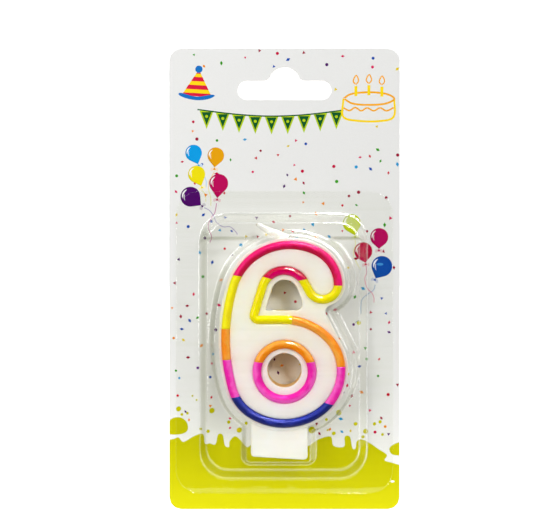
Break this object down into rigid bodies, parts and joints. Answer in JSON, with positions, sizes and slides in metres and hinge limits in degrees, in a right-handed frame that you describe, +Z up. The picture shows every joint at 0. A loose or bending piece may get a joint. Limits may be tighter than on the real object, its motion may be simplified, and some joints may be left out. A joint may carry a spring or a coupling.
{
  "type": "number candle in a blister card",
  "caption": "Wax numeral candle with a striped raised bead, wick and cake tab, held by a clear formed blister on a printed card that hangs from a euro slot.",
  "frame": {"origin": "middle of the hanging slot's straight band, on the card's back face", "axes": "+Z up the card, +X to the right seen from the front, -Y out of the printed front"},
  "size_m": [0.078, 0.0116, 0.156],
  "materials": {
    "card_board": "satin",
    "clear_film": "gloss",
    "white_wax": "satin",
    "cotton": "matte",
    "magenta_wax": "satin",
    "yellow_wax": "satin",
    "orange_wax": "satin",
    "pink_wax": "satin",
    "navy_wax": "satin"
  },
  "bodies": {
    "card": {"backing_card": "card_board"},
    "blister": {"blister_shell": "clear_film"},
    "candle": {"wax_body": "white_wax", "wick_core": "cotton", "wick_wax": "white_wax", "rim_top_magenta": "magenta_wax", "counter_top_magenta": "magenta_wax", "rim_left_yellow": "yellow_wax", "hook_yellow": "yellow_wax", "counter_yellow": "yellow_wax", "rim_left_orange": "orange_wax", "bowl_orange": "orange_wax", "ring_top_orange": "orange_wax", "rim_left_pink": "pink_wax", "rim_right_pink": "pink_wax", "ring_bottom_pink": "pink_wax", "rim_bottom_navy": "navy_wax"}
  },
  "joints": [
    {"name": "blister_lift", "type": "slide", "parent": "card", "child": "blister", "axis": [0, -1, 0], "range_m": [0, 0.05]},
    {"name": "candle_lift", "type": "slide", "parent": "card", "child": "candle", "axis": [0, -1, 0], "range_m": [0, 0.025]}
  ],
  "couplings": [
    {"joint": "candle_lift", "follows": "blister_lift", "ratio": 0.5}
  ]
}
